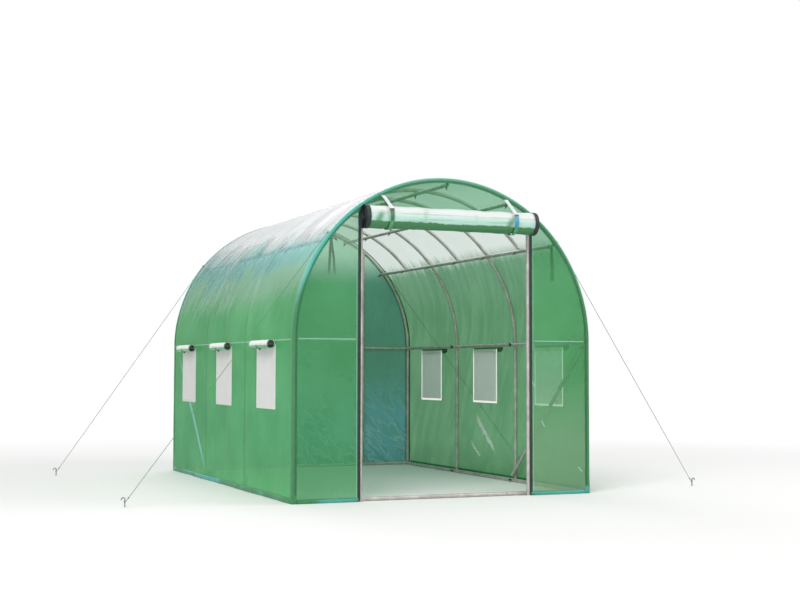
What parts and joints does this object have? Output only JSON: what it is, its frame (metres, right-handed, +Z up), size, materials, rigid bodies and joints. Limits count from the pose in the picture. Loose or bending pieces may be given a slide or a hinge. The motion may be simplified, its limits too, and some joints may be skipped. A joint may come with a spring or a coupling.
{
  "type": "polytunnel greenhouse",
  "caption": "Walk-in polytunnel greenhouse: round steel hoops and purlins under a green film cover, with mesh windows and a roll-up door.",
  "frame": {"origin": "on the ground under the centre of the overall box, door roll and guy ropes included", "axes": "+X to the right seen from the door, +Y from the door to the closed rear gable, +Z up"},
  "size_m": [3.928, 3.1212, 1.9798],
  "materials": {
    "tube_steel": "galvanised round tube, satin",
    "green_film": "translucent reinforced film, creased",
    "hem_film": "doubled film hem, glossy",
    "zip_tape": "black woven zip tape",
    "white_webbing": "white webbing strap",
    "window_mesh": "white insect mesh with taped border",
    "dark_tie": "dark green tie band",
    "guy_rope": "thin twisted rope",
    "peg_steel": "zinc plated rod"
  },
  "bodies": {
    "root": {"hoop_front": "tube_steel", "hoop_mid_front": "tube_steel", "hoop_mid_rear": "tube_steel", "hoop_rear": "tube_steel", "roof_rib_front": "tube_steel", "roof_rib_middle": "tube_steel", "roof_rib_rear": "tube_steel", "shoulder_purlin_right": "tube_steel", "upper_purlin_right": "tube_steel", "ridge_purlin": "tube_steel", "upper_purlin_left": "tube_steel", "shoulder_purlin_left": "tube_steel", "door_post_left": "tube_steel", "door_post_right": "tube_steel", "rear_post_left": "tube_steel", "rear_post_right": "tube_steel", "gable_rails_front": "tube_steel", "gable_rails_rear": "tube_steel", "base_rail_front": "tube_steel", "base_rail_rear": "tube_steel", "base_rail_left": "tube_steel", "base_rail_right": "tube_steel", "waist_rail_left": "tube_steel", "waist_rail_right": "tube_steel", "side_brace_left": "tube_steel", "side_brace_right": "tube_steel", "cover_wall_left": "green_film", "cover_wall_right": "green_film", "cover_shoulder_right": "green_film", "cover_crown_right": "green_film", "cover_crown_left": "green_film", "cover_shoulder_left": "green_film", "cover_rear": "green_film", "cover_front_left": "green_film", "cover_front_top": "green_film", "cover_front_right": "green_film", "window_rolls_left": "green_film", "window_rolls_right": "green_film", "door_roll": "green_film", "arch_hem_front": "hem_film", "arch_hem_rear": "hem_film", "door_zips": "zip_tape", "door_straps": "white_webbing", "windows_left": "window_mesh", "windows_right": "window_mesh", "shoulder_ties": "dark_tie", "guy_ropes": "guy_rope", "guy_pegs": "peg_steel"}
  },
  "joints": []
}
